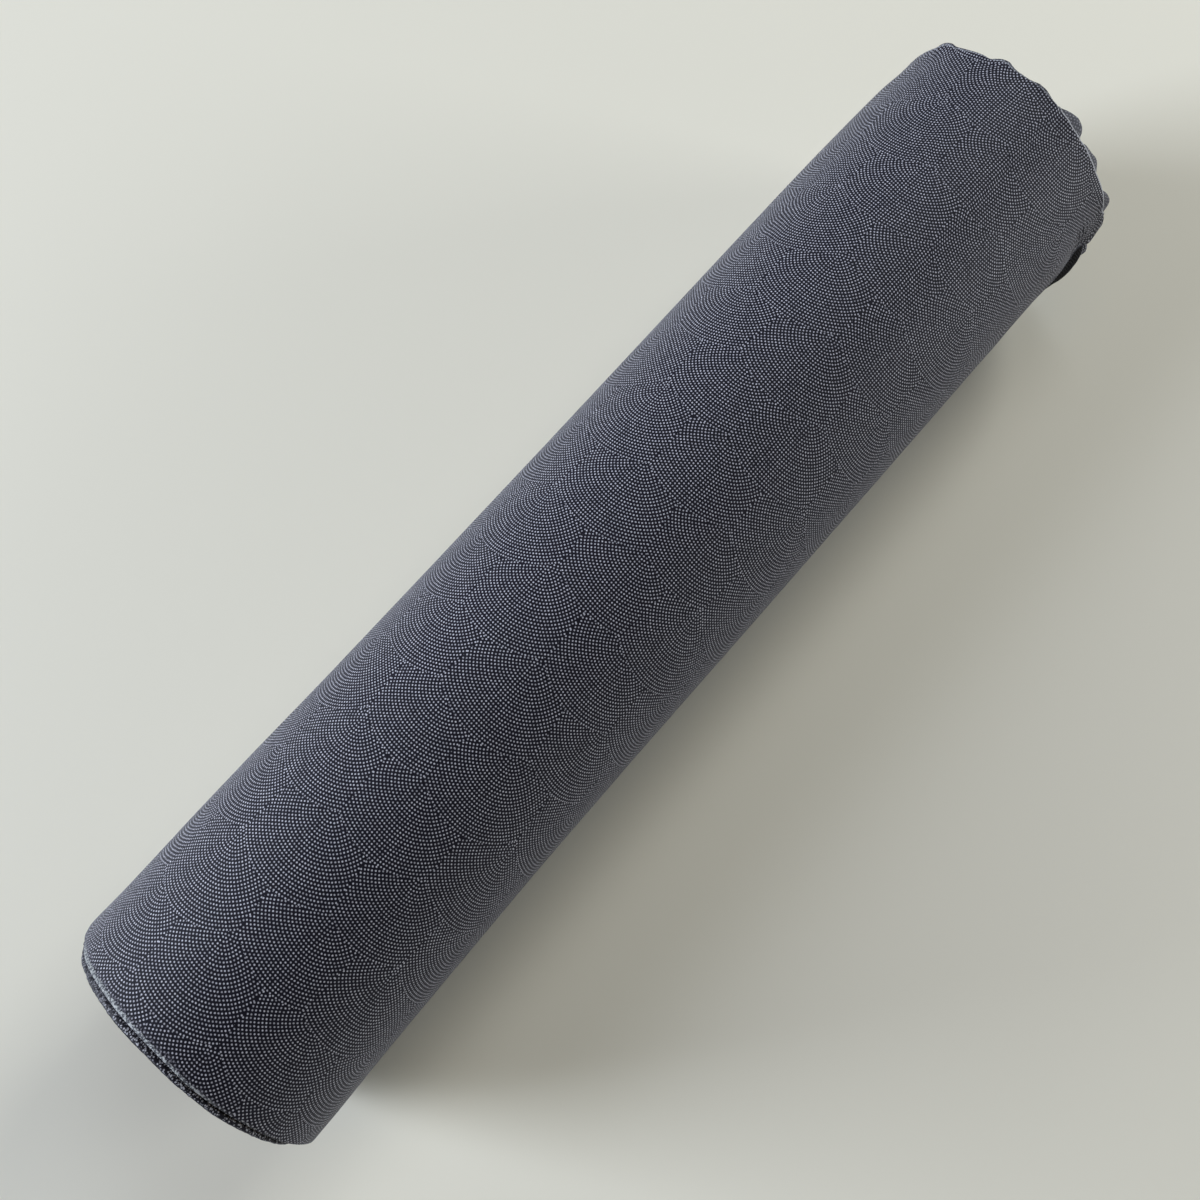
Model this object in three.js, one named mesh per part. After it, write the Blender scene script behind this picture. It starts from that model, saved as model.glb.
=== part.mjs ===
// Roll of kimono silk: one length of narrow crepe silk wound on itself into a
// firm roll that lies on its side, on a small flat that its own weight presses.
// Millimetres. +X along the roll, +Z up, origin at the middle of its base.
import * as THREE from 'three';
import { mergeVertices } from 'three/addons/utils/BufferGeometryUtils.js';

// ---------------------------------------------------------------- sizes
const CLOTH_WIDTH = 370;        // selvedge to selvedge
const AXIS_HEIGHT = 40.4;       // winding axis above the resting flat
const TURN_STEP = 0.8;          // height of the step where the free end lies
const FREE_END_ANGLE = 122;     // degrees round from the top, towards +Y, out of the way below
const FREE_END_SLOPE = 1.2;     // degrees that the step takes
const COLUMNS = 72;             // sections round the roll
const INNER_SHIFT = 2.4;        // the inner turns lie this much further towards -X
const WRAP_DEPTH = 1.4;         // depth of the outermost turns that end apart from the rest
const COARSE_PITCH = 8.0;       // radial pitch of the main spiral on the end faces
const RIDGE = 1.3;              // how far the turns stand apart along the axis
const RINGS_PER_PITCH = 4;
const EYE_RADIUS = 3.2;         // small eye where the winding starts
const EYE_DEPTH = 3.0;
const RUFFLE_BAND = 12;         // length of the frilled edge along the axis

const HALF = CLOTH_WIDTH / 2;

// Radius of the wound form along the roll. The edges of the cloth build up
// thicker than its middle, so the roll is a little waisted.
const SECTIONS = [
  { x: -HALF, plusY: 42.5, minusY: 43.6 },
  { x: -183.0, plusY: 42.6, minusY: 43.8 },
  { x: -176.0, plusY: 42.5, minusY: 43.7 },
  { x: -163.0, plusY: 42.4, minusY: 43.3 },
  { x: -148.0, plusY: 42.4, minusY: 42.9 },
  { x: -128.0, plusY: 42.4, minusY: 42.5 },
  { x: -105.0, plusY: 42.1, minusY: 42.1 },
  { x: -75.0, plusY: 41.9, minusY: 41.7 },
  { x: -35.0, plusY: 41.9, minusY: 41.7 },
  { x: 10.0, plusY: 41.9, minusY: 42.0 },
  { x: 50.0, plusY: 42.1, minusY: 42.2 },
  { x: 90.0, plusY: 42.3, minusY: 42.3 },
  { x: 130.0, plusY: 42.4, minusY: 42.4 },
  { x: 155.0, plusY: 42.2, minusY: 42.6 },
  { x: 170.0, plusY: 42.1, minusY: 43.0 },
  { x: 178.0, plusY: 42.2, minusY: 43.3 },
  { x: HALF - 1.0, plusY: 42.3, minusY: 43.4 },
];

// Frill of the outermost selvedge at the +X end: angle from the top towards
// +Y in degrees, half-width in degrees, reach along the axis and lift outwards.
const RUFFLES = [
  { angle: -79, half: 11, reach: 3.2, lift: 1.6 },
  { angle: -49, half: 7, reach: 1.3, lift: 0.8 },
  { angle: -28, half: 7, reach: 1.7, lift: 0.9 },
  { angle: -10, half: 7, reach: 0.8, lift: 0.4 },
  { angle: 12, half: 7, reach: 1.3, lift: 0.7 },
  { angle: 26, half: 6, reach: 0.5, lift: 0.3 },
  { angle: 43, half: 8, reach: 2.2, lift: 1.1 },
  { angle: 70, half: 8, reach: 1.2, lift: 0.6 },
  { angle: 96, half: 9, reach: 1.8, lift: 0.8 },
  { angle: 148, half: 8, reach: 1.3, lift: 0.2 },
  { angle: 212, half: 8, reach: 1.4, lift: 0.2 },
  { angle: 237, half: 8, reach: 1.0, lift: 0.4 },
  { angle: 259, half: 9, reach: -2.6, lift: -0.4 },
];

// Steps of the outermost turns at each end: inset from the outline, and
// distance along the axis past the outer selvedge (outwards is positive).
const NEAR_RIM = [
  { inset: 0.35, out: 0.3 },
  { inset: WRAP_DEPTH, out: 0.3 },
  { inset: WRAP_DEPTH + 0.5, out: INNER_SHIFT - 0.1 },
];
const FAR_RIM = [
  { inset: 0.35, out: 0.3 },
  { inset: WRAP_DEPTH, out: 0.1 },
  { inset: WRAP_DEPTH + 0.5, out: -INNER_SHIFT + 0.5 },
];

// ---------------------------------------------------------------- helpers
const rad = (degrees) => (degrees * Math.PI) / 180;
const wrap = (degrees) => ((((degrees + 180) % 360) + 360) % 360) - 180;

function sectionAt(x) {
  let k = 0;
  while (k < SECTIONS.length - 2 && x > SECTIONS[k + 1].x) k += 1;
  const a = SECTIONS[k];
  const b = SECTIONS[k + 1];
  const t = THREE.MathUtils.clamp((x - a.x) / (b.x - a.x), 0, 1);
  return {
    plusY: THREE.MathUtils.lerp(a.plusY, b.plusY, t),
    minusY: THREE.MathUtils.lerp(a.minusY, b.minusY, t),
  };
}

function ruffle(angle, key) {
  let sum = 0;
  for (const bump of RUFFLES) {
    const away = wrap(angle - bump.angle) / bump.half;
    if (Math.abs(away) < 1) sum += bump[key] * (0.5 + 0.5 * Math.cos(Math.PI * away));
  }
  return sum;
}

// Angles of the columns: evenly round from the free end, closing on its step.
function outlineAngles() {
  const angles = [];
  const span = 360 - FREE_END_SLOPE;
  for (let i = 0; i <= COLUMNS; i += 1) angles.push(FREE_END_ANGLE + (span * i) / COLUMNS);
  return angles;
}

function evenAngles(count) {
  return Array.from({ length: count }, (_, i) => FREE_END_ANGLE + (360 * i) / count);
}

// Point of the outline at x, with the spiral's own loss of radius, the frill
// near the +X end, and the flat where the roll rests. inset moves it inwards.
function outlinePoint(x, angle, frill, inset) {
  const section = sectionAt(x);
  const s = Math.sin(rad(angle));
  const c = Math.cos(rad(angle));
  const middle = (section.plusY + section.minusY) / 2;
  const lean = (section.plusY - section.minusY) / 2;
  const turned = (angle - FREE_END_ANGLE) / 360;
  const radius = middle + lean * s - TURN_STEP * turned + frill * ruffle(angle, 'lift');
  const scale = (radius - inset) / radius;
  const y = radius * s;
  const z = Math.max(radius * c, -AXIS_HEIGHT);
  return { y: y * scale, z: z * scale };
}

// ---------------------------------------------------------------- the wound form
function rollGeometry() {
  const angles = outlineAngles();
  const count = angles.length;
  const even = evenAngles(count);
  const rings = [];
  const addRing = (point) => rings.push(Array.from({ length: count }, (_, i) => point(i)));

  // End face of the turns: main spiral ridges out from the eye to the rim.
  const rimInset = WRAP_DEPTH + 0.5;
  const innerTop = sectionAt(0).plusY - TURN_STEP - rimInset - 0.9;
  const steps = Math.floor((innerTop - EYE_RADIUS) / (COARSE_PITCH / RINGS_PER_PITCH));
  const faceRings = Array.from({ length: steps + 1 }, (_, j) => {
    return EYE_RADIUS + ((innerTop - EYE_RADIUS) * j) / steps;
  });
  const faceRing = (x, direction, radius) => (i) => {
    const angle = even[i];
    const phase = 2 * Math.PI * (radius / COARSE_PITCH) + rad(angle);
    const ridge = RIDGE * (0.5 + 0.5 * Math.cos(phase));
    const point = {
      y: radius * Math.sin(rad(angle)),
      z: Math.max(radius * Math.cos(rad(angle)), -(AXIS_HEIGHT - rimInset - 0.3)),
    };
    return { x: x - direction * ridge, ...point };
  };

  const nearFace = -HALF - INNER_SHIFT;
  const farFace = HALF - INNER_SHIFT;

  faceRings.forEach((radius) => addRing(faceRing(nearFace, -1, radius)));
  [...NEAR_RIM].reverse().forEach((rim) => {
    addRing((i) => ({ x: -HALF - rim.out, ...outlinePoint(-HALF, angles[i], 0, rim.inset) }));
  });

  SECTIONS.forEach((section) => {
    const frill = THREE.MathUtils.smoothstep(section.x, HALF - RUFFLE_BAND, HALF);
    addRing((i) => ({
      x: section.x + frill * ruffle(angles[i], 'reach'),
      ...outlinePoint(section.x, angles[i], frill, 0),
    }));
  });

  FAR_RIM.forEach((rim) => {
    const edge = rim.out < 0 ? 0 : 1;
    addRing((i) => ({
      x: HALF - 1.0 + rim.out + edge * ruffle(angles[i], 'reach'),
      ...outlinePoint(HALF, angles[i], edge, rim.inset),
    }));
  });
  [...faceRings].reverse().forEach((radius) => addRing(faceRing(farFace, 1, radius)));

  // Skin between the rings, then the two eyes closed with a fan each.
  const positions = [];
  const at = (ring, i) => rings[ring][i % count];
  const triangle = (a, b, c) => {
    [a, b, c].forEach((p) => positions.push(p.x, p.y, p.z + AXIS_HEIGHT));
  };
  for (let r = 0; r < rings.length - 1; r += 1) {
    for (let i = 0; i < count; i += 1) {
      const a = at(r, i);
      const b = at(r, i + 1);
      const c = at(r + 1, i + 1);
      const d = at(r + 1, i);
      triangle(a, c, b);
      triangle(a, d, c);
    }
  }
  const nearEye = { x: nearFace + EYE_DEPTH, y: 0, z: 0 };
  const farEye = { x: farFace - EYE_DEPTH, y: 0, z: 0 };
  for (let i = 0; i < count; i += 1) {
    triangle(nearEye, at(0, i), at(0, i + 1));
    triangle(farEye, at(rings.length - 1, i + 1), at(rings.length - 1, i));
  }

  let geometry = new THREE.BufferGeometry();
  geometry.setAttribute('position', new THREE.Float32BufferAttribute(positions, 3));
  geometry = mergeVertices(geometry, 1e-4);

  // The origin is the middle of the base.
  geometry.computeBoundingBox();
  const box = geometry.boundingBox;
  geometry.translate(-(box.min.x + box.max.x) / 2, -(box.min.y + box.max.y) / 2, -box.min.z);
  geometry.computeVertexNormals();
  return geometry;
}

const silk = new THREE.MeshStandardMaterial({
  name: 'silk',
  color: new THREE.Color(0.25, 0.25, 0.29),
  roughness: 0.6,
  metalness: 0.0,
});

const roll = new THREE.Mesh(rollGeometry(), silk);
roll.name = 'kimono_silk_roll';

const part = new THREE.Group();
part.add(roll);

export default part;
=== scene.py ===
import math
import bpy
import numpy as np
from mathutils import Matrix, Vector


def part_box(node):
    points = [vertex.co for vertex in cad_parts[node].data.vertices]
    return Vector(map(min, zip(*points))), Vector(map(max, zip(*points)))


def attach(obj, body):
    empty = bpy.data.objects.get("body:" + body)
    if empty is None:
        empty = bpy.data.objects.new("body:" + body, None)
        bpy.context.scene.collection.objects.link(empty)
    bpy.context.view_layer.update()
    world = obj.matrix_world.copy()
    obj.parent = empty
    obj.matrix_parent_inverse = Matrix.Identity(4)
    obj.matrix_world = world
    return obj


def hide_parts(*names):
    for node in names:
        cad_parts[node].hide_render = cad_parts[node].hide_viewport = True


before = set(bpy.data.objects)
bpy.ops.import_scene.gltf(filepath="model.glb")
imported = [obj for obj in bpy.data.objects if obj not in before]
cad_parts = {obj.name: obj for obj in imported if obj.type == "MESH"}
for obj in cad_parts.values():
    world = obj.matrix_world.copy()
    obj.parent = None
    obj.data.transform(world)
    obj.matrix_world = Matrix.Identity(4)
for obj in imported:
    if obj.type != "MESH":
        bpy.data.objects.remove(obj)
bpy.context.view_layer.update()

MM = 0.001

# ------------------------------------------------------------------ places
# The winding axis in the row frame; the imported box is read, but the axis is given here.
LOW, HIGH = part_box("kimono_silk_roll")
AXIS_Y = 0.826 * MM
AXIS_Z = 40.4 * MM
CLOTH_WIDTH = 370.0          # millimetres, selvedge to selvedge
HALF = CLOTH_WIDTH / 2
THICK = 0.39                 # one layer of crepe
EYE = 2.6                    # where the winding starts
TURNS = 91.0                 # turns from the free end to the eye
FREE_END = 122.0             # degrees round from the top towards +Y
INNER_SHIFT = 2.4

# ------------------------------------------------------------------ camera
RIGHT = (0.65713, -0.75379, 0.0)
UP = (0.72886, 0.63541, 0.25519)
BACK = (-0.19236, -0.16769, 0.96689)
cam_data = bpy.data.cameras.new("camera")
cam = bpy.data.objects.new("camera", cam_data)
bpy.context.scene.collection.objects.link(cam)
m = Matrix.Identity(4)
for i in range(3):
    m[i][0], m[i][1], m[i][2] = RIGHT[i], UP[i], BACK[i]
m[0][3], m[1][3], m[2][3] = -0.09262, -0.06820, 0.42375
cam.matrix_world = m
cam_data.sensor_width = 36.0
cam_data.lens = 39.0
cam_data.clip_start = 0.01
cam_data.clip_end = 20.0
bpy.context.scene.camera = cam


# ------------------------------------------------------------------ helpers
def smooth(a, b, x):
    t = np.clip((x - a) / (b - a), 0.0, 1.0)
    return t * t * (3 - 2 * t)


def wrap(angle):
    return (angle + 180.0) % 360.0 - 180.0


def hermite(xs, ys, x):
    """Monotone-ish cubic through the table's rows."""
    xs = np.asarray(xs, float)
    ys = np.asarray(ys, float)
    slope = np.zeros(len(xs))
    d = np.diff(ys) / np.diff(xs)
    slope[1:-1] = np.where(d[:-1] * d[1:] > 0, 2 * d[:-1] * d[1:] / np.where(np.abs(d[:-1] + d[1:]) < 1e-12, 1, d[:-1] + d[1:]), 0.0)
    slope[0], slope[-1] = d[0], d[-1]
    x = np.clip(x, xs[0], xs[-1])
    k = np.clip(np.searchsorted(xs, x) - 1, 0, len(xs) - 2)
    h = xs[k + 1] - xs[k]
    t = (x - xs[k]) / h
    return ((2 * t**3 - 3 * t**2 + 1) * ys[k] + (t**3 - 2 * t**2 + t) * h * slope[k]
            + (-2 * t**3 + 3 * t**2) * ys[k + 1] + (t**3 - t**2) * h * slope[k + 1])


def wobble(s, period, amplitude, seed, terms=5):
    """A smooth wandering value along s, the same each run."""
    r = np.random.default_rng(seed)
    out = np.zeros_like(s)
    for k in range(terms):
        f = 2 * np.pi / period * (0.6 + 1.3 * k / terms + 0.2 * r.random())
        out += np.sin(f * s + 2 * np.pi * r.random()) / (1 + 0.35 * k)
    return amplitude * out / math.sqrt(terms)


# ------------------------------------------------------------------ the wound form
# Radius of the outermost turn along the roll, towards +Y and towards -Y.
PLUS_SIDE = [(-190, 42.45), (-184, 42.52), (-180, 42.55), (-175, 42.42), (-168, 42.28), (-160, 42.30), (-148, 42.50),
             (-128, 42.50), (-105, 42.25), (-75, 41.95), (-35, 41.95), (10, 42.0), (50, 42.2), (90, 42.45),
             (130, 42.55), (150, 42.30), (160, 42.15), (170, 42.10), (192, 42.10)]
MINUS_SIDE = [(-190, 43.9), (-183, 43.97), (-176, 43.9), (-170, 43.72), (-163, 43.40), (-148, 43.0), (-128, 42.6),
              (-105, 42.15), (-75, 41.75), (-35, 41.75), (10, 42.1), (50, 42.25), (90, 42.4), (120, 42.45),
              (132, 42.40), (142, 42.15), (158, 42.05), (192, 42.05)]
# How far the +X end draws in on the +Y side.
DRAWN_IN = [(156, 0.0), (162, 0.08), (168, 0.22), (172, 0.36), (175, 0.62), (178, 1.0), (181, 1.42), (184, 1.75), (190, 2.1)]
# How far the second turn stands off in a slack fold at the +X end, on the -Y side.
SLACK = [(154, 0.0), (158, 0.24), (161.4, 1.0), (164, 1.79), (166.4, 2.27), (168.6, 2.96), (170.6, 3.48), (172.4, 3.73),
         (174.3, 3.85), (175.9, 3.78), (177.9, 3.71), (180.1, 3.38), (181.7, 3.15), (183.1, 3.97), (184.8, 1.94), (187.5, 1.6)]
SLACK_AT, SLACK_WIDE, SLACK_WIDE_END = -102.0, 10.0, 7.0
# How far the outermost turn is lifted there by the corner folded under it.
LIFT = [(122, 0.0), (135, 0.2), (152, 0.45), (157, 0.50), (159.2, 0.62), (161.4, 0.75), (163, 0.75), (166, 0.55), (168.8, 0.42),
        (170.6, 0.40), (171.8, 0.35), (173.4, 0.15), (175, 0.12), (190, 0.12)]
# The crumpled corner above it: height, x, reach to either side, angle, reach; and how far it hangs down.
CORNER = (1.75, 181.1, 2.0, 3.7, -88.5, 4.5)
DROOP = (3.8, 180.8, 2.4)


def table(rows, x):
    return hermite([r[0] for r in rows], [r[1] for r in rows], x)


def around(rows, angle):
    """A table of (degrees, value) rows that closes on itself, read smoothly."""
    rows = sorted(rows)
    xs = [r[0] for r in rows]
    ys = [r[1] for r in rows]
    xs = [xs[-1] - 360] + xs + [xs[0] + 360]
    ys = [ys[-1]] + ys + [ys[0]]
    return hermite(xs, ys, wrap(angle))


def outline(x, angle):
    """Radius of the outermost turn's outer face, before the spiral takes its share."""
    plus = table(PLUS_SIDE, x)
    minus = table(MINUS_SIDE, x)
    s = np.sin(np.radians(angle))
    side = smooth(47, 70, angle) * (1 - smooth(118, 165, angle))
    return (plus + minus) / 2 + (plus - minus) / 2 * s + 0.27 - table(DRAWN_IN, x) * side


# Selvedges of the outermost turn: (degrees from the top towards +Y, x). At the
# +X end the edge is frilled and curls in over the turns below; between -81 and
# -140 degrees its corner is folded under.
FAR_EDGE = [(-170, 184.6), (-158, 185.4), (-146, 184.2), (-139, 180), (-132, 171), (-124, 163), (-114, 158.5), (-104, 157),
            (-97, 157.8), (-94.5, 158.6), (-92.5, 159.6), (-91, 161.5), (-90.2, 164), (-89.6, 167), (-89.1, 170), (-88.7, 173),
            (-88.3, 176), (-87.9, 179), (-87.4, 182), (-86.6, 184.3), (-85.4, 185.6), (-83.5, 186.0), (-79.5, 186.1), (-77.5, 186.1), (-75.6, 185.3), (-73.9, 184.6), (-71.7, 184.9),
            (-67.3, 184.7), (-64, 184.65), (-60, 184.5), (-57, 184.3), (-53.6, 183.95), (-50.9, 183.4), (-48.4, 183.35),
            (-43.6, 183.25), (-38.3, 183.45), (-33.9, 183.25), (-31.7, 183.0), (-27.6, 182.95), (-24.6, 183.3), (-21.1, 183.4),
            (-19.3, 183.8), (-17.1, 184.15), (-14.7, 184.15), (-12, 184.5), (-8.2, 185.0), (-5.6, 185.0), (-3.2, 184.6), (0, 184.3),
            (5, 184.4), (8, 184.9), (10.6, 185.5), (13, 185.4), (15.7, 184.8), (18.4, 184.15), (22, 184.5),
            (29.6, 184.8), (36, 185.2), (39.4, 186.2), (42, 186.4), (44, 186.2), (47, 185.1), (50, 184.8), (56, 184.7),
            (64, 184.9), (72, 184.4), (80, 184.9), (92, 184.3), (104, 185.3), (116, 184.2), (128, 185.2), (144, 184.4),
            (158, 185.3), (174, 184.4)]
NEAR_EDGE = [(-170, -184.9), (-130, -184.7), (-94, -184.6), (-83, -184.5), (-72, -184.7), (-64.5, -184.95), (-48, -185.1),
             (-37, -185.35), (-29, -185.5), (-20.5, -185.55), (-9.4, -185.15), (2.2, -184.9), (13.6, -184.85), (25, -184.6),
             (35.5, -184.55), (45, -184.3), (50, -184.0), (55, -183.6), (62, -183.4), (72, -183.5), (90, -183.9),
             (115, -184.5), (145, -184.9)]
# The turns under it: their -X edges stick out further than the wrap's.
NEAR_UNDER = [(48.3, -185.6), (44.7, -186.0), (39.8, -186.05), (36.6, -186.42), (33, -186.65), (27, -186.72), (22, -186.9),
              (17.5, -187.03), (13.5, -187.12), (6.7, -187.08), (2.3, -187.1), (-4.4, -187.10), (-9.6, -187.26),
              (-13.5, -187.35), (-19.3, -187.48), (-25, -187.45), (-31.6, -187.55), (-36, -187.5), (-41, -187.31),
              (-46.8, -187.08), (-53.7, -186.8), (-62.2, -186.42), (-67, -186.0), (-71, -185.3), (-74.7, -184.5),
              (-80, -184.3), (-95, -184.5), (-110, -185.1), (-130, -185.9), (-160, -186.5), (150, -186.3),
              (120, -185.4), (95, -184.3), (75, -183.5), (60, -183.9), (52.5, -184.7)]
FAR_UNDER = [(-150, 182.4), (-135, 182.8), (-118, 183.8), (-108, 182.6), (-103.5, 181.6), (-100.5, 182.7), (-97, 184.1), (-93, 184.0), (-88, 184.0), (-84, 184.7),
             (-79.5, 185.6), (-76.9, 186.0), (-75.2, 186.7), (-73.9, 187.3), (-72, 187.9), (-70.6, 187.8), (-68.2, 187.2),
             (-65.8, 186.6), (-62.8, 185.3), (-60, 184.7), (-57, 184.2), (-53.6, 183.9), (-51, 184.6), (-48.4, 185.2),
             (-47.1, 185.4), (-45.5, 185.3), (-42.4, 184.7), (-38.2, 184.2), (-35.6, 183.4), (-33.9, 183.6), (-32.6, 184.9),
             (-29.6, 185.9), (-27.1, 186.1), (-24.5, 185.7), (-22, 185.2), (-19.5, 184.4), (-16, 183.6), (-10, 182.8), (0, 182.5), (40, 182.3), (80, 182.4), (120, 182.2), (170, 182.5)]

# Stations across the cloth. The first ones are counted from the -X selvedge,
# the others from where the +X margin starts to curl.
STATIONS = np.array([0, 0.12, 0.35, 0.7, 1.1, 1.7, 2.5, 4, 6.5, 10, 16, 26, 42, 65, 95, 140, 190, 240])
BEFORE = np.array([84, 62, 46, 35, 27.5, 22.5, 19, 16.2, 13.8, 11.6, 9.6, 7.8, 6.2, 5.2, 4.4, 3.7, 3.0, 2.4, 1.8, 1.2, 0.7, 0.3])
CURL = np.linspace(0, 1, 9)
TAIL = np.array([0.3, 0.65, 1.0])
ACROSS = len(STATIONS) + len(BEFORE) + len(CURL) + len(TAIL)
# The turns next below follow the roll's waist on fewer stations, those further in run straight.
MIDDLE_AT = [0, 8, 11, 13, 14, 15, 16, 17, 22, 36, ACROSS - 1]
MIDDLE_TURNS = 5.0
COARSE_AT = [0, 8, 36, ACROSS - 1]
DENSE = (25, 31, 5)             # between these stations, in this many parts, where the corner is gathered
FINE_TURNS = 1.95


def columns():
    """Turns from the free end at which the cloth has a section: fine outside, coarser inside."""
    degrees = [0.0]
    while degrees[-1] < FINE_TURNS * 360:
        d = degrees[-1]
        a = wrap(FREE_END + d)
        step = 0.62 if d < 360 and -97 < a < -66 else (0.95 if d < 360 and -66 <= a < 75 else 1.2)
        degrees.append(d + step)
    out = [d / 360 for d in degrees]
    fine = len(out)
    t = out[-1]
    while t < TURNS:
        radius = EYE + (42.2 - EYE) * (1 - t / TURNS)
        t += min((3.6 if t < MIDDLE_TURNS else 3.8) / (2 * np.pi * radius), 1 / 14)
        out.append(t)
    out[-1] = TURNS
    return np.array(out), fine


def length_at(turn):
    """Cloth length from the free end, in millimetres."""
    total = (42.2 - EYE)
    return 2 * np.pi * (42.2 * turn - total * turn * turn / (2 * TURNS))


def edges(turn):
    """Where the two selvedges lie at these turns, how far the margin would reach
    flat, how tightly it curls and how far it is folded under."""
    angle = FREE_END + 360.0 * turn
    a = wrap(angle)
    s = length_at(turn)
    first = 1 - smooth(0.95, 1.30, turn)
    fray = wobble(s, 2.6, 0.07, 11) + wobble(s, 9.0, 0.05, 12)
    near_first = around(NEAR_EDGE, a) + wobble(s, 30.0, 0.05, 13)
    drift = 0.45 * (0.5 + 0.5 * np.cos(2 * np.pi * (42.2 - 0.43 * turn) / 8.0 + np.radians(angle)))
    deep = smooth(5, 16, turn)
    layer = 0.22 * np.sin(1.9 * np.floor(np.maximum(turn - 0.3, 0)) + 0.4) * smooth(1.9, 2.3, turn)
    under = around(NEAR_UNDER, a) * (1 - deep) + (-HALF - INNER_SHIFT + drift + layer) * deep
    under = under + layer * (1 - deep) + fray * 1.3 + wobble(s, 46.0, 0.12, 3) * smooth(2, 4, turn)
    near = first * near_first + (1 - first) * under
    seen = around(FAR_EDGE, a) + 0.10 * fray
    flat = np.maximum(seen, 184.9) + 0.35 * np.exp(-((seen - 184.9) / 1.2) ** 2)
    far_under = around(FAR_UNDER, a) * (1 - deep) + (HALF - INNER_SHIFT + drift + layer) * deep + 0.2 * wobble(s, 60.0, 1.0, 5) + 0.6 * fray
    folded = smooth(1.9, 4.5, flat - seen)
    tight = 0.55 - 0.29 * folded
    reach = (flat - seen + 0.2 + tight)
    # here the second turn's edge sticks out past the first's, which ends flat on it
    stepped = smooth(-80, -76, a) * (1 - smooth(-20, -16, a))
    lead = seen * (1 - stepped) + around(FAR_UNDER, a) * stepped
    rolled = first * (1 - stepped)
    far = rolled * flat + first * stepped * seen + (1 - first) * far_under
    tight = np.exp(rolled * np.log(tight) + (1 - rolled) * np.log(30.0))
    reach = rolled * reach + (1 - rolled) * 2.8
    return near, far, tight, reach, folded, first, lead


def across_at(turn):
    """Station positions across the cloth for each of these turns."""
    near, far, tight, reach, folded, first, lead = edges(turn)
    start = (CLOTH_WIDTH - reach)[:, None]
    turned = np.minimum(reach - 0.15, math.pi * tight)[:, None]
    rest = reach[:, None] - turned
    return np.concatenate([np.broadcast_to(STATIONS, (len(turn), len(STATIONS))), start - BEFORE[None, :],
                           start + turned * CURL[None, :], start + turned + rest * TAIL[None, :]], 1)


def place(turn, across):
    """Middle of the cloth at each turn (rows) and distance across (columns of each row):
    x and radius, the way its outer face looks in (x, radius), the angle and the spiral's share."""
    near, far, tight, reach, folded, first, lead = (v[:, None] for v in edges(turn))
    turn = turn[:, None]
    angle = FREE_END + 360.0 * turn
    a = wrap(angle)
    w = across / CLOTH_WIDTH
    x = -HALF + across + (near + HALF) * (1 - smooth(0.0, 0.72, w)) + (far - HALF) * smooth(0.62, 0.91, w)
    # the margin's curl
    past = across - (CLOTH_WIDTH - reach)
    arc = np.clip(past / tight, 0.0, math.pi)
    x = np.where(past > 0, far - reach + tight * np.sin(arc) - np.maximum(past - math.pi * tight, 0), x)
    share = 1 - turn / TURNS
    wide = SLACK_WIDE + (SLACK_WIDE_END - SLACK_WIDE) * smooth(167, 173, x)
    slack = table(SLACK, x) * np.exp(-((wrap(a - SLACK_AT) / wide) ** 2)) * np.exp(-0.7 * np.maximum(turn - 1.45, 0))
    radius = EYE + (outline(x, a) - EYE) * share - THICK / 2 + slack - tight * (1 - np.cos(arc)) * (past > 0)
    # the folded corner lies under the wrap and lifts it by one layer
    radius = radius + first * table(LIFT, x) * smooth(53, 21, np.abs(wrap(a + 105)))
    spread = np.where(x < CORNER[1], CORNER[2], CORNER[3])
    radius = radius + first * CORNER[0] * np.exp(-(((x - CORNER[1]) / spread) ** 2)) * np.exp(-((wrap(a - CORNER[4]) / CORNER[5]) ** 2))
    droop = first * DROOP[0] * np.exp(-(((x - DROOP[1]) / DROOP[2]) ** 2)) * smooth(-79, -88, a) * smooth(-100, -93, a)
    # frilled margin, and short gathers where the corner is tucked in
    outer = 1 - smooth(1.75, 1.93, turn)
    pushed = 1 + 0.55 * np.exp(-((wrap(a + 83) / 5.0) ** 2))
    frill = np.clip(0.42 * (lead - 183.5), 0, 1.7) * pushed * np.exp(-((np.maximum(lead - x, 0) / 4.2) ** 1.5)) * (1 - folded)
    crease = 0.5 + 0.5 * np.cos(2 * np.pi * (x + 0.12 * a + 0.12 * np.sin(a / 2.6) - 164.3) / 1.8)
    gather = (0.12 - 0.62 * crease ** 2) * smooth(169.5, 171.5, x) * smooth(179.5, 177.0, x)
    radius = radius + outer * frill + gather * outer * smooth(-94, -89, a) * smooth(-64, -81, a)
    # the wrap's -X selvedge stands a little proud, and draws in on the +Y side
    near_by = np.exp(-((across / 1.6) ** 2))
    radius = radius + first * near_by * (0.10 - 0.65 * smooth(40, 60, a) * (1 - smooth(110, 150, a)))
    under = smooth(1.2, 1.32, turn) * smooth(7, 3.5, turn)
    wrap_edge = around(NEAR_EDGE, a)
    bead = 0.10 + 0.05 * np.sin(length_at(turn) * 2 * np.pi / 1.9 + 2 * np.sin(length_at(turn) / 5.0))
    radius = radius + under * (bead * np.exp(-(((across - 0.7) / 0.55) ** 2)) - 0.28 * np.exp(-(((across - 0.0) / 0.25) ** 2))
                               - 0.5 * np.exp(-(((x - wrap_edge - 0.25) / 0.75) ** 2)))
    radius = radius + 0.022 * np.sin(np.radians(a) * 7 + x / 60.0) * smooth(4, 0.0, turn)
    # outward direction of the face, from the run of the stations
    dx = np.gradient(x, axis=1)
    dr = np.gradient(radius, axis=1)
    n = np.hypot(dx, dr) + 1e-9
    return x, radius, -dr / n, dx / n, a - droop, share + 0 * x


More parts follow.
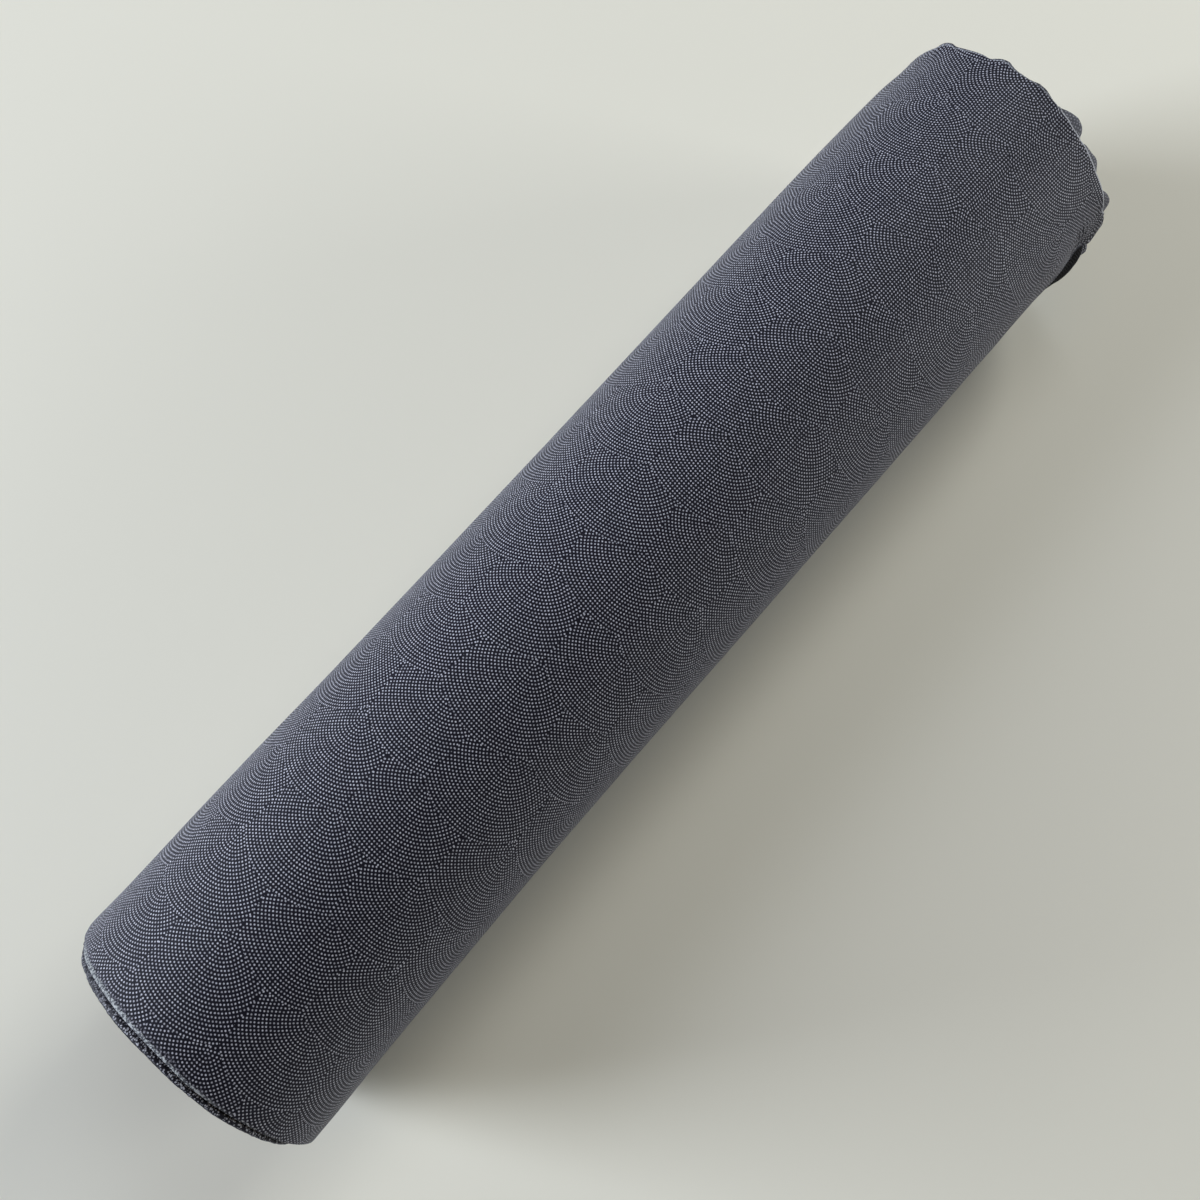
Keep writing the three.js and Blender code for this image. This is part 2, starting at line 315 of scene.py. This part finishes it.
def faces_at(turn, across):
    """Outer and inner face of the cloth in the row frame, in metres."""
    x, radius, nx, nr, a, share = place(turn, across)
    ca, sa = np.cos(np.radians(a)), np.sin(np.radians(a))
    thin = THICK * (0.62 + 0.38 * smooth(0.0, 0.5, np.minimum(across, CLOTH_WIDTH - across)))
    y, z = radius * sa, radius * ca
    ny, nz = nr * sa, nr * ca
    # pressed flat where it rests, less and less towards the eye
    floor = -40.4 * share - EYE * (1 - share) * 0.96 + THICK / 2
    soft = 0.22
    q = (z - floor) / soft
    z = floor + soft * (np.log1p(np.exp(-np.abs(q))) + np.maximum(q, 0))
    held = 1 / (1 + np.exp(np.clip(q, -40, 40)))
    ny = ny * (1 - held)
    nz = nz * (1 - held) - np.abs(nr) * held * np.sign(nr)
    size = np.sqrt(nx * nx + ny * ny + nz * nz) + 1e-9
    middle = np.stack([x, AXIS_Y / MM + y, AXIS_Z / MM + z], -1)
    way = np.stack([nx, ny, nz], -1) / size[..., None]
    half = thin[..., None] / 2
    return (middle + way * half) * MM, (middle - way * half) * MM


def bake_map(mesh, loops, starts, cloth, inward):
    """A second map inside 0-1: most of it for the outer turn, strips for the margins of the
    turn below and for the selvedges, one strip shared by all that is wound out of sight."""
    count = np.diff(np.append(starts, len(loops)))
    face = np.repeat(np.arange(len(starts)), count)
    across, length = cloth[loops, 0], cloth[loops, 1]
    total = 42.2 - EYE
    turn = (42.2 - np.sqrt(42.2 ** 2 - total * length / (np.pi * TURNS))) * TURNS / total

    def mean(v):
        return (np.bincount(face, v) / count)[face]

    back, side, middle = mean(inward[loops].astype(float)), mean(across), mean(turn)
    base = np.floor(middle)
    part = np.clip(turn - base, 0, 1)
    wall = (back > 0.01) & (back < 0.99)
    outer = (back < 0.01) & (middle < 1.012)
    near = (back < 0.01) & ~outer & (middle < 2) & (side < 6.6)
    far = (back < 0.01) & ~outer & (middle < 2) & (side > 340)
    U = 0.01 + 0.98 * across / CLOTH_WIDTH
    V = 0.943 + 0.045 * part
    V = np.where(outer, 0.01 + 0.82 * np.clip(turn / 1.02, 0, 1), V)
    along = 0.01 + 0.98 * part
    U = np.where(near | far | wall, along, U)
    V = np.where(near, 0.836 + 0.028 * np.clip(across / 7.0, 0, 1), V)
    V = np.where(far, 0.887 + 0.052 * np.clip((across - 338.0) / 32.0, 0, 1), V)
    V = np.where(wall, np.where(side < 185, 0.867, 0.877) + 0.007 * inward[loops], V)
    layer = mesh.uv_layers.new(name="OFBake")
    layer.uv.foreach_set("vector", np.stack([U, V], -1).astype(np.float32).ravel())
    mesh.uv_layers.active = mesh.uv_layers["cloth"]
    mesh.uv_layers["cloth"].active_render = True


def build_roll():
    turns, fine = columns()
    rows = ACROSS
    middle = int(np.searchsorted(turns, MIDDLE_TURNS))
    # outside in: each band's turns and the stations that it has
    bands = [(turns[:fine], list(range(rows))), (turns[fine:middle], MIDDLE_AT), (turns[middle:], COARSE_AT)]
    parts, ids, base = [], [], 0
    for at_turns, stations in bands:
        A = across_at(at_turns)[:, stations]
        T = np.broadcast_to(at_turns[:, None], A.shape)
        outer, inner = faces_at(at_turns, A)
        parts += [(outer, A, T, False), (inner, A, T, True)]
        count = np.arange(A.size).reshape(A.shape)
        ids.append((base + count, base + A.size + count))
        base += 2 * A.size
    A = parts[0][1]
    (ids_of, ids_nf), (ids_oc, ids_nc) = ids[0], ids[-1]
    # more stations where the corner is gathered
    bend = wrap(FREE_END + 360.0 * turns[:fine])
    dense_rows = np.flatnonzero((turns[:fine] < 1) & (bend > -92.5) & (bend < -64))
    dense = DENSE[0] + np.arange((DENSE[1] - DENSE[0]) * DENSE[2] + 1) / DENSE[2]
    AD = np.stack([np.interp(np.r_[0:DENSE[0], dense, DENSE[1] + 1:rows], np.arange(rows), A[i]) for i in dense_rows])
    od, nd = faces_at(turns[dense_rows], AD)
    between = np.flatnonzero(dense % 1 > 1e-6) + DENSE[0]
    fresh = len(dense_rows) * len(between)
    ids_od = base + np.arange(fresh).reshape(len(dense_rows), DENSE[1] - DENSE[0], DENSE[2] - 1)
    ids_nd = ids_od + fresh
    AD, TD = AD[:, between], np.repeat(turns[dense_rows][:, None], len(between), 1)
    parts += [(od[:, between], AD, TD, False), (nd[:, between], AD, TD, True)]
    verts = np.concatenate([part[0].reshape(-1, 3) for part in parts])
    # cloth coordinates for the pattern: across and along, in millimetres
    cloth = np.concatenate([np.stack([part[1], length_at(part[2])], -1).reshape(-1, 2) for part in parts])
    inward = np.concatenate([np.full(part[1].size, part[3]) for part in parts])
    faces = []

    def strip(ids, flip, more=None):
        spots = {int(r): k for k, r in enumerate(dense_rows)} if more is not None else {}
        for i in range(ids.shape[0] - 1):
            for j in range(ids.shape[1] - 1):
                inside = DENSE[0] <= j < DENSE[1]
                here = list(more[spots[i], j - DENSE[0]]) if inside and i in spots else []
                after = list(more[spots[i + 1], j - DENSE[0]]) if inside and i + 1 in spots else []
                a = [ids[i, j]] + here + [ids[i, j + 1]]
                b = [ids[i + 1, j]] + after + [ids[i + 1, j + 1]]
                cells_here = [(a[k:k + 2], b[k:k + 2]) for k in range(len(a) - 1)] if len(a) == len(b) else [(a, b)]
                for low, high in cells_here:
                    q = tuple([low[0]] + high + low[:0:-1])
                    faces.append(q if flip else q[::-1])

    strip(ids_of, True, ids_od)
    strip(ids_nf, False, ids_nd)
    for outer, inner in ids[1:]:
        strip(outer, True)
        strip(inner, False)

    # selvedge walls
    def wall(o, i, j, flip):
        for k in range(o.shape[0] - 1):
            q = (o[k, j], o[k + 1, j], i[k + 1, j], i[k, j])
            faces.append(q if flip else q[::-1])

    for outer, inner in ids:
        wall(outer, inner, 0, False)
        wall(outer, inner, outer.shape[1] - 1, True)
    # the cut end outside and the start at the eye
    for j in range(rows - 1):
        faces.append((ids_of[0, j], ids_of[0, j + 1], ids_nf[0, j + 1], ids_nf[0, j])[::1])
    for j in range(len(COARSE_AT) - 1):
        faces.append((ids_oc[-1, j + 1], ids_oc[-1, j], ids_nc[-1, j], ids_nc[-1, j + 1]))
    # where one band passes over to the next
    for k in (0, 1):
        (over, over_in), (under, under_in) = ids[k], ids[k + 1]
        spots = [bands[k][1].index(station) for station in bands[k + 1][1]]
        for j in range(len(spots) - 1):
            line = list(range(spots[j], spots[j + 1] + 1))
            faces.append(tuple([over[-1, q] for q in line[::-1]] + [under[0, j], under[0, j + 1]]))
            faces.append(tuple([over_in[-1, q] for q in line] + [under_in[0, j + 1], under_in[0, j]]))
        faces.append((over[-1, 0], over_in[-1, 0], under_in[0, 0], under[0, 0]))
        faces.append((over[-1, -1], under[0, -1], under_in[0, -1], over_in[-1, -1]))

    mesh = bpy.data.meshes.new("kimono_silk_cloth")
    mesh.from_pydata([tuple(v) for v in verts.tolist()], [], [tuple(int(q) for q in f) for f in faces])
    mesh.validate()
    mesh.update()
    # cloth map
    layer = mesh.uv_layers.new(name="cloth")
    loops = np.empty(len(mesh.loops), np.int32)
    mesh.loops.foreach_get("vertex_index", loops)
    uv = np.stack([cloth[loops, 0] / 1000.0, cloth[loops, 1] / 1000.0], -1)
    layer.uv.foreach_set("vector", uv.astype(np.float32).ravel())
    mesh.polygons.foreach_set("use_smooth", np.ones(len(mesh.polygons), bool))
    # which faces show the reverse, or the sunk patch of the tucked corner darkened with painted shade
    starts = np.empty(len(mesh.polygons), np.int32)
    mesh.polygons.foreach_get("loop_start", starts)
    at = cloth[loops[starts]]
    side = inward[loops[starts]] & inward[loops[starts + 1]] & inward[loops[starts + 2]]
    bake_map(mesh, loops, starts, cloth, inward)
    painted_shade_faces = (at[:, 0] > 342.5) & (at[:, 0] < np.where(at[:, 1] > 357, 366.6, 368.0)) & (at[:, 1] > 343) & (at[:, 1] < 378)
    mesh.polygons.foreach_set("material_index", (side | painted_shade_faces).astype(np.int32))
    obj = bpy.data.objects.new("kimono_silk_cloth", mesh)
    bpy.context.scene.collection.objects.link(obj)
    return obj


roll = build_roll()
import bmesh
bm = bmesh.new()
bm.from_mesh(roll.data)
open_edges = sum(1 for e in bm.edges if not e.is_manifold)
print("CLOTH verts", len(bm.verts), "faces", len(bm.faces), "non manifold", open_edges, "volume cm3", round(bm.calc_volume() * 1e6, 1),
      "tris", sum(len(f.verts) - 2 for f in bm.faces))
# hard edges only where the cloth's face meets its selvedge
for e in bm.edges:
    if len(e.link_faces) == 2 and e.calc_face_angle(0) > math.radians(50):
        e.smooth = False
bm.to_mesh(roll.data)
bm.free()

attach(roll, "root")
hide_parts("kimono_silk_roll")
cloth_length = float(length_at(TURNS)) * MM
print("CLOTH length m", round(cloth_length, 3))


# ------------------------------------------------------------------ materials
class Socket:
    """A node socket that takes part in sums, so that a pattern reads as a formula."""

    def __init__(self, tree, value):
        self.tree, self.value = tree, value

    def _op(self, kind, *others, flip=False):
        n = self.tree.nodes.new("ShaderNodeMath")
        n.operation = kind
        terms = [self, *others]
        if flip:
            terms = terms[::-1]
        for slot, t in zip(n.inputs, terms):
            if isinstance(t, Socket):
                self.tree.links.new(t.value, slot)
            else:
                slot.default_value = float(t)
        return Socket(self.tree, n.outputs[0])

    def __add__(self, o): return self._op("ADD", o)
    def __radd__(self, o): return self._op("ADD", o)
    def __sub__(self, o): return self._op("SUBTRACT", o)
    def __rsub__(self, o): return self._op("SUBTRACT", o, flip=True)
    def __mul__(self, o): return self._op("MULTIPLY", o)
    def __rmul__(self, o): return self._op("MULTIPLY", o)
    def __truediv__(self, o): return self._op("DIVIDE", o)
    def __rtruediv__(self, o): return self._op("DIVIDE", o, flip=True)
    def floor(self): return self._op("FLOOR")
    def round(self): return self._op("ROUND")
    def sqrt(self): return self._op("SQRT")
    def abs(self): return self._op("ABSOLUTE")
    def sin(self): return self._op("SINE")
    def cos(self): return self._op("COSINE")
    def less(self, o): return self._op("LESS_THAN", o)
    def more(self, o): return self._op("GREATER_THAN", o)
    def max(self, o): return self._op("MAXIMUM", o)
    def min(self, o): return self._op("MINIMUM", o)
    def mod(self, o): return self._op("FLOORED_MODULO", o)
    def atan2(self, o): return self._op("ARCTAN2", o)
    def power(self, o): return self._op("POWER", o)

    def ramp(self, a, b, lo=0.0, hi=1.0, kind="SMOOTHSTEP"):
        n = self.tree.nodes.new("ShaderNodeMapRange")
        n.interpolation_type = kind
        self.tree.links.new(self.value, n.inputs[0])
        if a > b:
            a, b, lo, hi = b, a, hi, lo
        for i, v in zip((1, 2, 3, 4), (a, b, lo, hi)):
            n.inputs[i].default_value = v
        return Socket(self.tree, n.outputs[0])


def pick(which, a, b):
    """a where which is 1, b where it is 0."""
    return b + which * (a - b)


def vector(tree, *parts):
    n = tree.nodes.new("ShaderNodeCombineXYZ")
    for slot, t in zip(n.inputs, parts):
        if isinstance(t, Socket):
            tree.links.new(t.value, slot)
        else:
            slot.default_value = float(t)
    return n.outputs[0]


def chance(tree, *parts):
    """Three even random values for these whole numbers."""
    n = tree.nodes.new("ShaderNodeTexWhiteNoise")
    n.noise_dimensions = "3D"
    tree.links.new(vector(tree, *parts), n.inputs["Vector"])
    s = tree.nodes.new("ShaderNodeSeparateXYZ")
    tree.links.new(n.outputs["Color"], s.inputs[0])
    return [Socket(tree, o) for o in s.outputs]


def cells(tree, vec, scale):
    """How far the nearest of many scattered points is, in parts of their spacing."""
    n = tree.nodes.new("ShaderNodeTexVoronoi")
    n.feature = "F1"
    n.inputs["Scale"].default_value = scale
    n.inputs["Randomness"].default_value = 0.85
    tree.links.new(vec, n.inputs["Vector"])
    return Socket(tree, n.outputs["Distance"])


def noise(tree, vec, scale, detail=2.0, rough=0.5, dims="3D", lacunarity=2.0):
    n = tree.nodes.new("ShaderNodeTexNoise")
    n.noise_dimensions = dims
    n.inputs["Scale"].default_value = scale
    n.inputs["Detail"].default_value = detail
    n.inputs["Roughness"].default_value = rough
    n.inputs["Lacunarity"].default_value = lacunarity
    tree.links.new(vec, n.inputs["Vector"])
    return Socket(tree, n.outputs["Fac"])


def mix(tree, factor, a, b, kind="MIX"):
    n = tree.nodes.new("ShaderNodeMix")
    n.data_type = "RGBA"
    n.blend_type = kind
    n.clamp_factor = True
    for slot, t in ((n.inputs["Factor"], factor),):
        if isinstance(t, Socket):
            tree.links.new(t.value, slot)
        else:
            slot.default_value = t
    for slot, t in ((n.inputs[6], a), (n.inputs[7], b)):
        if isinstance(t, tuple):
            slot.default_value = (*t, 1.0)
        else:
            tree.links.new(t, slot)
    return n.outputs[2]


# The stencil's fans: rows across the cloth, columns along it, in millimetres.
ROW, COLUMN = 21.1, 29.5
PITCH, ALONG = 0.975, 0.95
FAN = 26.5 * PITCH
DOT = 0.229


def silk_material(name, reverse_dim_and_painted_shade, specular, sheen):
    mat = bpy.data.materials.new(name)
    mat.use_nodes = True
    nt = mat.node_tree
    nt.nodes.clear()
    out = nt.nodes.new("ShaderNodeOutputMaterial")
    p = nt.nodes.new("ShaderNodeBsdfPrincipled")
    nt.links.new(p.outputs[0], out.inputs[0])

    uvn = nt.nodes.new("ShaderNodeUVMap")
    uvn.uv_map = "cloth"
    sep = nt.nodes.new("ShaderNodeSeparateXYZ")
    nt.links.new(uvn.outputs[0], sep.inputs[0])
    u = Socket(nt, sep.outputs[0]) * 1000.0
    v0 = Socket(nt, sep.outputs[1]) * 1000.0
    # the pattern bows a little along the cloth between the selvedges
    mid = (u - 185.0) * (1 / 185.0)
    v = v0 + mid * mid * 5.0 + 40.0

    def row(offset):
        """The two fans of a row that reach this spot: their centres."""
        j = (u * (1 / ROW)).floor() + offset
        half = j.mod(2.0) * 0.5
        c0 = (v * (1 / COLUMN) - half).floor()
        found = []
        for step in (0.0, 1.0):
            c = c0 + step
            # cut by hand: the fans stray, and the stencil repeats every three rows and two columns
            jm, cm = j.mod(3.0), c.mod(2.0)
            found.append(((j + 0.5) * ROW + (jm * 2.3 + cm * 2.9 + 1.0).sin() * 1.9,
                          (c + half) * COLUMN + (jm * 3.7 + cm * 2.6 + 0.3).sin() * 3.2, j * 7.0 + c))
        return found

    def nearest(centre):
        """The dot of this fan that lies nearest: its place, how far off it is, its ring."""
        cu, cv, name = centre
        du, dv = u - cu, v - cv
        ring = ((du * du + dv * dv).sqrt() * (1 / PITCH)).round()
        rr = ring * PITCH
        k = (dv.atan2(du * -1.0) * rr * (1 / ALONG)).round()
        turn = k * ALONG / rr
        w1, w2, w3 = chance(nt, ring, k, name)
        pu = cu - turn.cos() * rr + (w1 - 0.5) * 0.10
        pv = cv + turn.sin() * rr + (w2 - 0.5) * 0.10
        return pu, pv, apart(u, v, pu, pv), rr, w3

    def apart(a, b, c, e):
        x, y = a - c, b - e
        return (x * x + y * y).sqrt()

    def shown(dot, mate, fronts):
        """How far off a dot is, more where its neighbour or a fan lying over it crowds it out."""
        pu, pv, off, rr, w = dot
        seen = rr.less(FAN) * (apart(pu, pv, mate[0], mate[1]) - rr).ramp(-0.38 * PITCH, 0.15 * PITCH)
        for f in fronts:
            seen = seen * (apart(pu, pv, f[0], f[1]) - FAN).ramp(-0.45 * PITCH, 0.1 * PITCH)
        return off + (1.0 - seen) * 0.33 + seen.less(0.001) * 9.0, w

    front, behind = row(1.0), row(0.0)
    found = [shown(nearest(front[0]), front[1], ()), shown(nearest(front[1]), front[0], ()),
             shown(nearest(behind[0]), behind[1], front), shown(nearest(behind[1]), behind[0], front)]
    reach, w3 = found[0]
    for other, w in found[1:]:
        closer = other.less(reach)
        reach, w3 = pick(closer, other, reach), pick(closer, w, w3)
    cloth = vector(nt, u, v0, 0.0)
    fuzz = noise(nt, cloth, 3.1, 0.0)
    dot = (reach + (fuzz - 0.5) * 0.12).ramp(DOT + 0.09, DOT - 0.09)
    strength = w3 * 0.50 + 0.65

    # threads: warp along the cloth, weft across it, and the crepe's fine pebbling
    warp = ((v0 * 0.0 + u) * (2 * math.pi / 0.24)).sin()
    weft = (v0 * (2 * math.pi / 0.26)).sin()
    slub = noise(nt, vector(nt, u * 0.12, v0 * 3.4, 1.0), 1.0, 2.0, 0.6)
    slub_warp = noise(nt, vector(nt, u * 3.6, v0 * 0.10, 5.0), 1.0, 2.0, 0.6)
    pebble = noise(nt, cloth, 1.7, 2.0, 0.55)
    broad = noise(nt, vector(nt, u * 0.02, v0 * 0.02, 9.0), 1.0, 2.0, 0.5)

    ground = mix(nt, pebble.ramp(0.3, 0.7), GROUND_LOW, GROUND_HIGH)
    spot = mix(nt, slub.ramp(0.3, 0.7), SPOT_LOW, SPOT_HIGH)
    colour = mix(nt, (dot * strength).min(1.0), ground, spot)

    # selvedges: firm dark threads and one pale one at the +X edge's margin
    far = 370.0 - u
    streak = noise(nt, vector(nt, u * 5.2, v0 * 0.16, 2.0), 1.0, 2.0, 0.6)
    stray = noise(nt, vector(nt, u * 0.9, v0 * 0.45, 8.0), 1.0, 3.0, 0.65)
    fine = noise(nt, vector(nt, u * 2.7, v0 * 2.9, 4.0), 1.0, 1.0, 0.6)
    beads = cells(nt, vector(nt, u + (v0 * 1.3).sin() * 0.2, v0, 3.0), 1.75)
    bead = beads.ramp(0.50, 0.26)
    far_rim = far + (stray - 0.5) * 0.5
    # between these lengths the first turn ends flat on the second, whose margin peeps out, paler and plainer
    step_one = v0.ramp(114.0, 118.0) * v0.ramp(163.0, 159.0)
    step_two = v0.ramp(373.0, 377.0) * v0.ramp(424.0, 420.0)
    hidden = 1.0 - step_one.max(step_two)
    inside = v0.ramp(505.0, 540.0)
    quiet = 1.0 - inside * 0.72
    colour = mix(nt, far_rim.ramp(1.25, 1.0) * 0.9 * hidden, colour, mix(nt, bead * quiet, (0.022, 0.021, 0.028), (0.24, 0.242, 0.265)))
    line = (far_rim - 1.4).abs().ramp(0.24, 0.08) * streak.ramp(0.30, 0.50)
    colour = mix(nt, line * 0.75 * hidden * quiet, colour, (0.30, 0.305, 0.32))
    colour = mix(nt, step_two * far.ramp(5.5, 4.0) * 0.55, colour, mix(nt, streak.ramp(0.3, 0.7), (0.125, 0.125, 0.142), (0.235, 0.235, 0.255)))
    colour = mix(nt, step_one * (far + (fine - 0.5) * 0.35).ramp(0.48, 0.30) * (streak.ramp(0.25, 0.45) * 0.5 + 0.5), colour, (0.46, 0.465, 0.49))

    # the -X margin: a dark uneven zone inside a pale thread at the very edge; from the top towards +Y the zone is
    # narrower and stronger, as painted light and shade
    inner = v0.ramp(262.0, 268.0)
    painted_light_side = v0.ramp(146.0, 172.0)
    rim = u + (stray - 0.5) * 1.7 + (1.0 - painted_light_side) * 1.15
    zone = rim.ramp(2.30, 1.90) * (1.0 - inner)
    colour = mix(nt, zone * (0.15 + painted_light_side * 0.30), colour, mix(nt, bead * 0.85, (0.0075, 0.0070, 0.0125), (0.26, 0.25, 0.29)))
    nibble = noise(nt, vector(nt, u * 1.1, v0 * 1.25, 6.0), 1.0, 3.0, 0.7)
    thread = u + (nibble - 0.5) * 1.5 + (fine - 0.5) * 0.7 + v0.ramp(205.0, 158.0) * 0.5
    whole = v0.ramp(146.0, 164.0) * v0.ramp(217.0, 210.0)
    broken = v0.ramp(217.0, 210.0) * v0.ramp(112.0, 134.0) * bead * nibble.ramp(0.42, 0.50)
    pale = thread.ramp(1.30, 1.02) * whole.max(broken)
    pits = noise(nt, vector(nt, u * 1.5, v0 * 1.35, 7.0), 1.0, 1.0, 0.7)
    shine = v0.ramp(206.0, 168.0) * 0.55 + 0.85
    lint = mix(nt, nibble.ramp(0.34, 0.64), (0.450, 0.455, 0.440), (0.240, 0.250, 0.250))
    lint = mix(nt, shine.min(1.0), (0.02, 0.02, 0.02), lint)
    lint = mix(nt, (shine - 1.0).max(0.0), lint, (0.75, 0.78, 0.80))
    colour = mix(nt, pale, colour, mix(nt, pits.ramp(0.46, 0.53) * 0.9, lint, (0.050, 0.052, 0.062)))

    # the turns under it: their margin is rubbed, with small uneven beads on dark cloth; the beads are dimmed towards -Y
    # and again past the top towards +Y, and change their look past the top, as painted light and shade
    worn = (u + (stray - 0.5) * 0.5).ramp(3.6, 2.9) * inner
    painted_light_and_edge_fade = (v0.ramp(365.0, 420.0) * 0.35 + 0.65) * (1.0 - v0.ramp(440.0, 462.0) * 0.35) * u.ramp(0.1, 0.55)
    painted_shading_past_top = v0.ramp(444.0, 458.0)
    # painted shade: the specks fade out towards the wrap's edge, where its shadow falls on the band
    painted_shade_by_wrap_edge = u.ramp(1.4, 2.1) * 0.8
    specks = bead * (1.0 - painted_shading_past_top) * (fine.ramp(0.3, 0.6) * 0.5 + 0.5) + painted_shading_past_top * (bead * 0.5 + 0.5) * nibble.ramp(0.47, 0.55) * (fine.ramp(0.38, 0.55) * 0.7 + 0.3)
    colour = mix(nt, worn, colour, mix(nt, specks * painted_light_and_edge_fade * (1.0 - painted_shade_by_wrap_edge), (0.0075, 0.0068, 0.0105), (0.50, 0.495, 0.53)))

    if reverse_dim_and_painted_shade < 1:
        # darkened colour: the cloth's reverse, and painted shade on the sunk patch of the tucked corner, which comes
        # back to plain cloth towards the underside
        painted_shade_lifted = u.ramp(338.0, 341.0) * v0.ramp(334.0, 338.0) * v0.ramp(362.0, 344.0)
        colour = mix(nt, (1.0 - painted_shade_lifted) * (1 - reverse_dim_and_painted_shade), colour, (0.0016, 0.0013, 0.0015))
    nt.links.new(colour, p.inputs["Base Color"])

    height = warp * 0.010 + weft * 0.013 + pebble * 0.10 + slub * 0.035 + slub_warp * 0.03 + broad * 0.35
    bump = nt.nodes.new("ShaderNodeBump")
    bump.inputs["Strength"].default_value = 0.45
    bump.inputs["Distance"].default_value = 0.001
    nt.links.new(height.value, bump.inputs["Height"])
    nt.links.new(bump.outputs[0], p.inputs["Normal"])
    rough = pebble * 0.10 + slub * 0.06 + ROUGH - 0.08
    nt.links.new(rough.value, p.inputs["Roughness"])
    p.inputs["IOR"].default_value = 1.5
    p.inputs["Specular IOR Level"].default_value = specular
    p.inputs["Sheen Weight"].default_value = sheen
    p.inputs["Sheen Roughness"].default_value = SHEEN_ROUGH
    p.inputs["Sheen Tint"].default_value = SHEEN_TINT
    return mat


GROUND_LOW, GROUND_HIGH = (0.0040, 0.0036, 0.0076), (0.0074, 0.0066, 0.0130)
SPOT_LOW, SPOT_HIGH = (0.408, 0.404, 0.455), (0.570, 0.564, 0.625)
ROUGH, SPECULAR = 0.56, 0.12
SHEEN, SHEEN_ROUGH, SHEEN_TINT = 0.115, 0.5, (0.83, 0.85, 1.0, 1)


roll.data.materials.append(silk_material("kimono_silk", 1.0, SPECULAR, SHEEN))
# The cloth's reverse, and the sunk patch in the slack of the tucked corner: duller, the dots hardly through; on the
# sunk patch this darkness is painted shade.
roll.data.materials.append(silk_material("kimono_silk_reverse_and_painted_shade", 0.10, 0.015, 0.0))

# ------------------------------------------------------------------ stage
def make_floor():
    me = bpy.data.meshes.new("floor")
    s = 3.0
    me.from_pydata([(-s, -s, 0), (s, -s, 0), (s, s, 0), (-s, s, 0)], [], [(0, 1, 2, 3)])
    ob = bpy.data.objects.new("floor", me)
    bpy.context.scene.collection.objects.link(ob)
    mat = bpy.data.materials.new("floor")
    mat.use_nodes = True
    b = mat.node_tree.nodes["Principled BSDF"]
    b.inputs["Base Color"].default_value = (0.812, 0.770, 0.645, 1)
    b.inputs["Roughness"].default_value = 0.7
    b.inputs["Specular IOR Level"].default_value = 0.3
    me.materials.append(mat)
    return ob


make_floor()


def area(name, loc, target, size, power, colour):
    d = bpy.data.lights.new(name, "AREA")
    d.shape = "RECTANGLE"
    d.size, d.size_y = size
    d.energy = power
    d.color = colour
    o = bpy.data.objects.new(name, d)
    bpy.context.scene.collection.objects.link(o)
    o.location = loc
    from mathutils import Vector
    o.rotation_euler = (Vector(target) - Vector(loc)).to_track_quat("-Z", "Y").to_euler()
    return o


# Soft boxes round the table, two metres off: height and bearing in degrees
# (0 is +Y, 90 is +X), and the strength of red, green and blue.
BOXES = [
    (12, 135, (0.312, 0.326, 0.341)),
    (12, 180, (0.012, 0.010, 0.008)),
    (12, 315, (0.759, 0.836, 0.948)),
    (32, 315, (0.270, 0.297, 0.361)),
    (32, 90, (0.330, 0.345, 0.350)),
    (55, 60, (0.078, 0.088, 0.103)),
    (78, 0, (0.030, 0.022, 0.012)),
]
for n, (el, az, rgb) in enumerate(BOXES):
    e, a = math.radians(el), math.radians(az)
    top = max(rgb)
    area(f"box_{n}", (2 * math.cos(e) * math.sin(a), 2 * math.cos(e) * math.cos(a), 2 * math.sin(e) + 0.04),
         (0, 0, 0.04), (0.8, 0.6 if el < 70 else 0.9), 50 * top, tuple(c / top for c in rgb))
world = bpy.data.worlds.new("world")
bpy.context.scene.world = world
world.use_nodes = True
bg = world.node_tree.nodes["Background"]
bg.inputs[0].default_value = (1.0, 0.95, 0.8, 1)
bg.inputs[1].default_value = 0.008
bpy.context.scene.view_settings.view_transform = "Standard"
